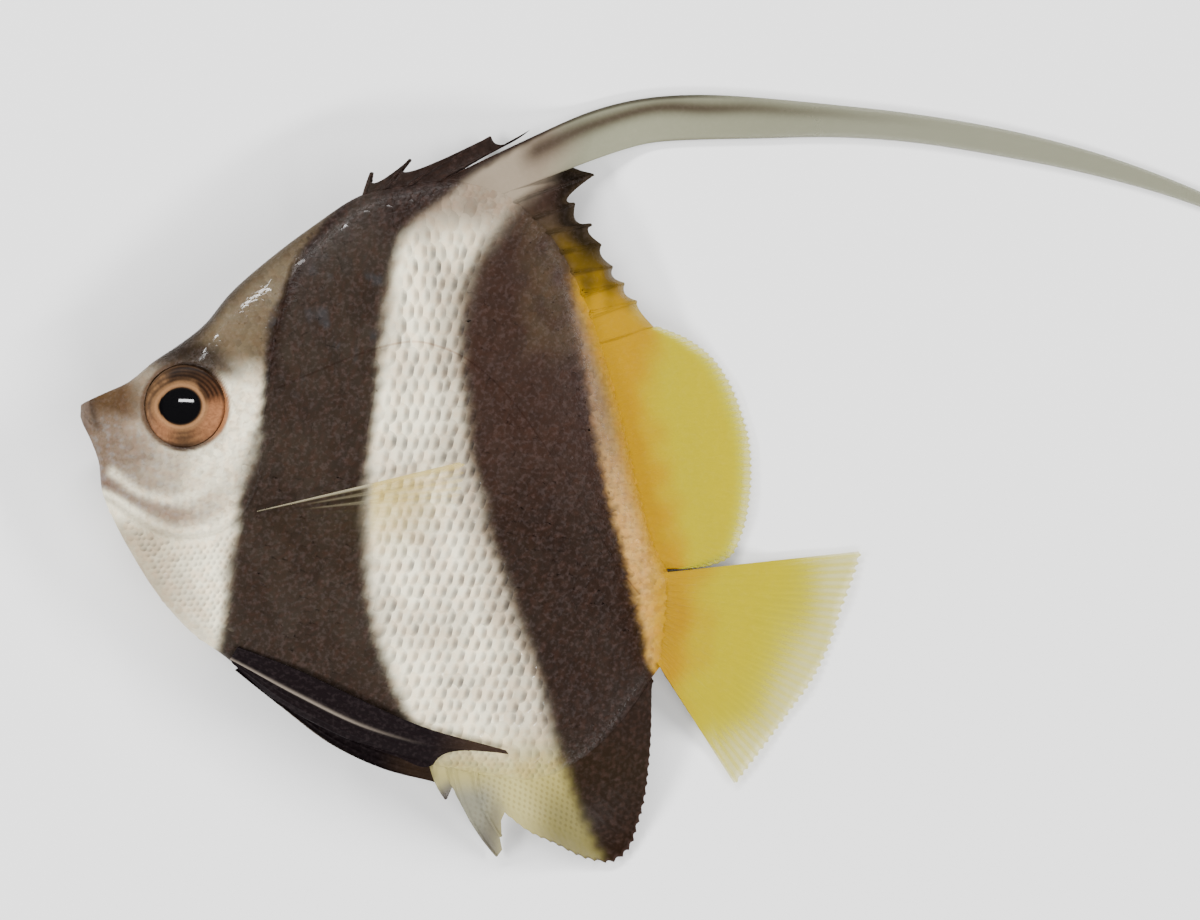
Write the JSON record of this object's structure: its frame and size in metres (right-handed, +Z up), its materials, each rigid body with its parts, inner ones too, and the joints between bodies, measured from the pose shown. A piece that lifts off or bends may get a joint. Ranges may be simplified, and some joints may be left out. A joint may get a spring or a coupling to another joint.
{
  "type": "young longfin bannerfish, caught and lying on its side",
  "caption": "Life-size young longfin bannerfish lying flat on its right side, with banded body, yellow rear fins and a long streamer on the back fin.",
  "frame": {"origin": "middle of the fish's outline in plan, on the table that it lies on", "axes": "+X from the snout towards the tail and the streamer's tip, +Y from the belly towards the back, +Z up from the table through the left flank"},
  "size_m": [0.1261, 0.0732, 0.0111],
  "materials": {
    "pearl": "moist scaly skin, pearl white with dark bands",
    "head_skin": "moist smooth skin, silver with a brown snout",
    "yellow_fin": "moist thin fin, yellow, clear towards its margin",
    "dark_fin": "moist thin fin, brown-black",
    "grey_streamer": "moist thin fin, grey and half clear",
    "clear_fin": "moist, nearly clear fin with fine pale rays",
    "eye": "wet eye, copper iris and black pupil"
  },
  "bodies": {
    "root": {"head": "head_skin", "trunk": "pearl", "tail_stalk": "pearl", "eye_left": "eye", "eye_right": "eye", "fin_dorsal_spiny": "dark_fin", "fin_dorsal_soft": "yellow_fin", "fin_caudal": "yellow_fin", "fin_anal": "pearl", "fin_pectoral_left": "clear_fin", "fin_pectoral_right": "clear_fin", "fin_pelvic_left": "dark_fin", "fin_pelvic_right": "dark_fin", "streamer_1": "grey_streamer", "streamer_2": "grey_streamer", "streamer_3": "grey_streamer"}
  },
  "joints": []
}
